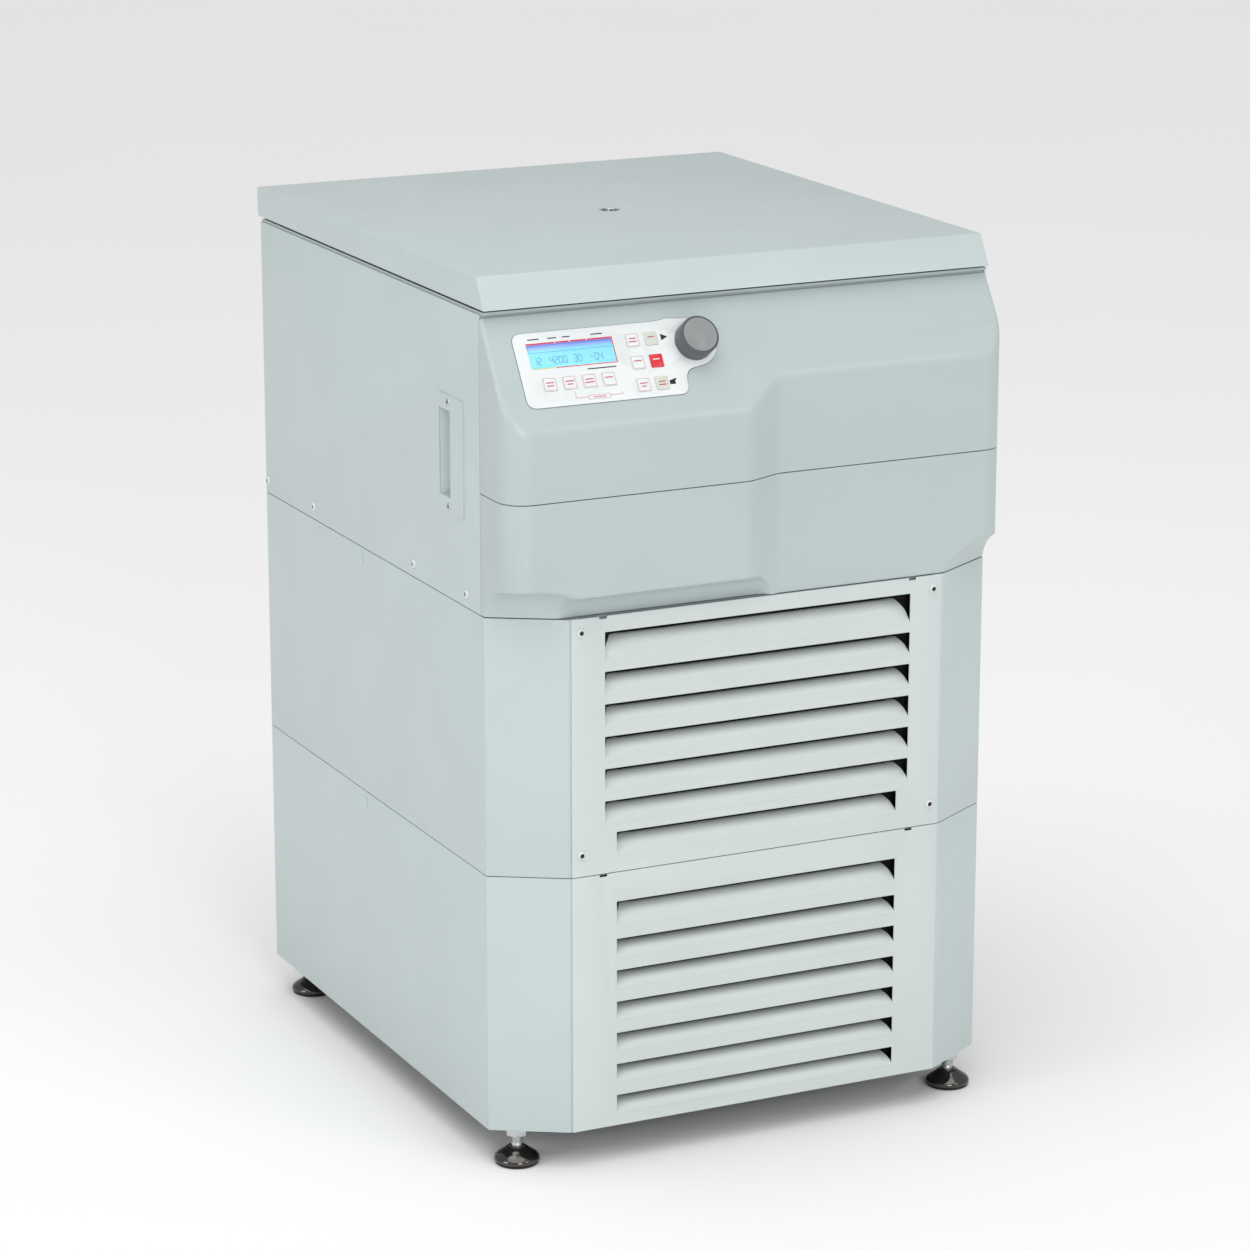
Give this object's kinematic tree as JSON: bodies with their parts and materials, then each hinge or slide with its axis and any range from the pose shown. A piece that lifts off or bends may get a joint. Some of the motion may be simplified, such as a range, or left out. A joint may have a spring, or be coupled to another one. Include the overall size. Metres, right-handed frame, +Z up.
{
  "type": "laboratory centrifuge",
  "caption": "Floor-standing refrigerated laboratory centrifuge with a rear-hinged lid, swing-out rotor, louvred front, control panel with display and levelling feet.",
  "frame": {"origin": "on the floor, under the middle of the bounding box", "axes": "+Z up, front with the control panel towards -Y, +X to the right seen from the front"},
  "size_m": [0.5572, 0.647, 0.889],
  "materials": {
    "side_sheet": "satin light grey powder coat",
    "front_sheet": "satin light grey powder coat",
    "lid_paint": "satin light grey powder coat",
    "fascia_plastic": "fine-textured moulding",
    "overlay_film": "satin printed film",
    "lcd_glass": "clear window over a lit display",
    "key_film": "satin printed film",
    "stop_key_film": "satin printed film",
    "knob_plastic": "satin moulding",
    "deck_paint": "satin powder coat",
    "bowl_steel": "deep-drawn stainless steel",
    "rotor_aluminium": "anodised",
    "shaft_steel": "ground steel",
    "frame_steel": "plain primer",
    "zinc_steel": "zinc plate",
    "screw_steel": "bright zinc plate",
    "gasket_rubber": "matt rubber",
    "foot_chrome": "dark chrome",
    "copper": "drawn copper",
    "black_enamel": "semi-gloss enamel",
    "condenser_fins": "mill finish",
    "black_plastic": "fine-textured moulding",
    "rocker_plastic": "gloss moulding",
    "board_laminate": "solder-masked laminate",
    "inverter_case": "dark anodised",
    "port_glass": "clear acrylic"
  },
  "bodies": {
    "cabinet": {"base_frame": "frame_steel", "lower_wrap": "side_sheet", "middle_wrap": "side_sheet", "upper_wrap": "side_sheet", "rear_grille": "front_sheet", "lower_grille": "front_sheet", "middle_grille": "front_sheet", "panel_screws": "screw_steel", "handle_plates": "side_sheet", "fascia_upper": "fascia_plastic", "fascia_lower": "fascia_plastic", "control_overlay": "overlay_film", "display_window": "lcd_glass", "control_board": "board_laminate", "top_deck": "deck_paint", "chamber_gasket": "gasket_rubber", "chamber_bowl": "bowl_steel", "evaporator_coil": "copper", "guard_ring": "frame_steel", "drive_motor": "black_enamel", "motor_mounts": "gasket_rubber", "compressor": "black_enamel", "condenser": "condenser_fins", "fan_shroud": "black_plastic", "refrigerant_pipes": "copper", "drive_inverter": "inverter_case", "power_inlet": "black_plastic", "lock_guides": "black_plastic", "hinge_brackets": "zinc_steel", "strut_cylinders": "black_enamel"},
    "lid": {"lid_shell": "lid_paint", "lid_liner": "deck_paint", "sight_window": "port_glass", "lid_strikers": "zinc_steel", "lid_hinges": "zinc_steel"},
    "strut_rods": {"strut_rods": "zinc_steel"},
    "rotor": {"rotor_cross": "rotor_aluminium", "drive_shaft": "shaft_steel"},
    "bucket_1": {"bucket_1": "rotor_aluminium"},
    "bucket_2": {"bucket_2": "rotor_aluminium"},
    "bucket_3": {"bucket_3": "rotor_aluminium"},
    "bucket_4": {"bucket_4": "rotor_aluminium"},
    "setting_knob": {"setting_knob": "knob_plastic"},
    "condenser_fan": {"condenser_fan": "black_plastic"},
    "mains_rocker": {"mains_rocker": "rocker_plastic"},
    "lock_bar": {"lock_bar": "zinc_steel"},
    "foot_front_left": {"foot_front_left": "foot_chrome"},
    "foot_front_right": {"foot_front_right": "foot_chrome"},
    "foot_rear_left": {"foot_rear_left": "foot_chrome"},
    "foot_rear_right": {"foot_rear_right": "foot_chrome"},
    "key_1": {"key_1": "key_film"},
    "key_2": {"key_2": "key_film"},
    "key_3": {"key_3": "key_film"},
    "key_4": {"key_4": "key_film"},
    "key_5": {"key_5": "key_film"},
    "key_6": {"key_6": "key_film"},
    "key_7": {"key_7": "key_film"},
    "key_8": {"key_8": "key_film"},
    "key_9": {"key_9": "stop_key_film"},
    "key_10": {"key_10": "key_film"}
  },
  "joints": [
    {"name": "lid_hinge", "type": "hinge", "parent": "cabinet", "child": "lid", "pos_m": [0, 0.3185, 0.857], "axis": [-1, 0, 0], "range_deg": [0, 75]},
    {"name": "strut_slide", "type": "slide", "parent": "cabinet", "child": "strut_rods", "axis": [0, 0, 1], "range_m": [0, 0.0367]},
    {"name": "rotor_spin", "type": "hinge", "parent": "cabinet", "child": "rotor", "pos_m": [0, 0.0335, 0.742], "axis": [0, 0, 1], "continuous": true},
    {"name": "bucket_1_swing", "type": "hinge", "parent": "rotor", "child": "bucket_1", "pos_m": [0.092, 0.0335, 0.742], "axis": [0, -1, 0], "range_deg": [0, 90]},
    {"name": "bucket_2_swing", "type": "hinge", "parent": "rotor", "child": "bucket_2", "pos_m": [0, 0.1255, 0.742], "axis": [1, 0, 0], "range_deg": [0, 90]},
    {"name": "bucket_3_swing", "type": "hinge", "parent": "rotor", "child": "bucket_3", "pos_m": [-0.092, 0.0335, 0.742], "axis": [0, 1, 0], "range_deg": [0, 90]},
    {"name": "bucket_4_swing", "type": "hinge", "parent": "rotor", "child": "bucket_4", "pos_m": [0, -0.0585, 0.742], "axis": [-1, 0, 0], "range_deg": [0, 90]},
    {"name": "knob_turn", "type": "hinge", "parent": "cabinet", "child": "setting_knob", "pos_m": [-0.062, -0.28996, 0.81966], "axis": [0, -0.8368, 0.5476], "continuous": true},
    {"name": "key_1_press", "type": "slide", "parent": "cabinet", "child": "key_1", "axis": [0, 0.8368, -0.5476], "range_m": [0, 0.0005], "stiffness_N_per_m": 1500},
    {"name": "key_2_press", "type": "slide", "parent": "cabinet", "child": "key_2", "axis": [0, 0.8368, -0.5476], "range_m": [0, 0.0005], "stiffness_N_per_m": 1500},
    {"name": "key_3_press", "type": "slide", "parent": "cabinet", "child": "key_3", "axis": [0, 0.8368, -0.5476], "range_m": [0, 0.0005], "stiffness_N_per_m": 1500},
    {"name": "key_4_press", "type": "slide", "parent": "cabinet", "child": "key_4", "axis": [0, 0.8368, -0.5476], "range_m": [0, 0.0005], "stiffness_N_per_m": 1500},
    {"name": "key_5_press", "type": "slide", "parent": "cabinet", "child": "key_5", "axis": [0, 0.8368, -0.5476], "range_m": [0, 0.0005], "stiffness_N_per_m": 1500},
    {"name": "key_6_press", "type": "slide", "parent": "cabinet", "child": "key_6", "axis": [0, 0.8368, -0.5476], "range_m": [0, 0.0005], "stiffness_N_per_m": 1500},
    {"name": "key_7_press", "type": "slide", "parent": "cabinet", "child": "key_7", "axis": [0, 0.8368, -0.5476], "range_m": [0, 0.0005], "stiffness_N_per_m": 1500},
    {"name": "key_8_press", "type": "slide", "parent": "cabinet", "child": "key_8", "axis": [0, 0.8368, -0.5476], "range_m": [0, 0.0005], "stiffness_N_per_m": 1500},
    {"name": "key_9_press", "type": "slide", "parent": "cabinet", "child": "key_9", "axis": [0, 0.8368, -0.5476], "range_m": [0, 0.0005], "stiffness_N_per_m": 1500},
    {"name": "key_10_press", "type": "slide", "parent": "cabinet", "child": "key_10", "axis": [0, 0.8368, -0.5476], "range_m": [0, 0.0005], "stiffness_N_per_m": 1500},
    {"name": "fan_spin", "type": "hinge", "parent": "cabinet", "child": "condenser_fan", "pos_m": [0, -0.2155, 0.162], "axis": [0, 1, 0], "continuous": true},
    {"name": "rocker_tilt", "type": "hinge", "parent": "cabinet", "child": "mains_rocker", "pos_m": [-0.119, 0.3075, 0.362], "axis": [1, 0, 0], "range_deg": [0, 24]},
    {"name": "lock_slide", "type": "slide", "parent": "cabinet", "child": "lock_bar", "axis": [1, 0, 0], "range_m": [0, 0.011]},
    {"name": "foot_front_left_screw", "type": "slide", "parent": "cabinet", "child": "foot_front_left", "axis": [0, 0, -1], "range_m": [0, 0.012]},
    {"name": "foot_front_right_screw", "type": "slide", "parent": "cabinet", "child": "foot_front_right", "axis": [0, 0, -1], "range_m": [0, 0.012]},
    {"name": "foot_rear_left_screw", "type": "slide", "parent": "cabinet", "child": "foot_rear_left", "axis": [0, 0, -1], "range_m": [0, 0.012]},
    {"name": "foot_rear_right_screw", "type": "slide", "parent": "cabinet", "child": "foot_rear_right", "axis": [0, 0, -1], "range_m": [0, 0.012]}
  ],
  "couplings": [
    {"joint": "strut_slide", "follows": "lid_hinge", "m_per_rad": 0.027904}
  ]
}
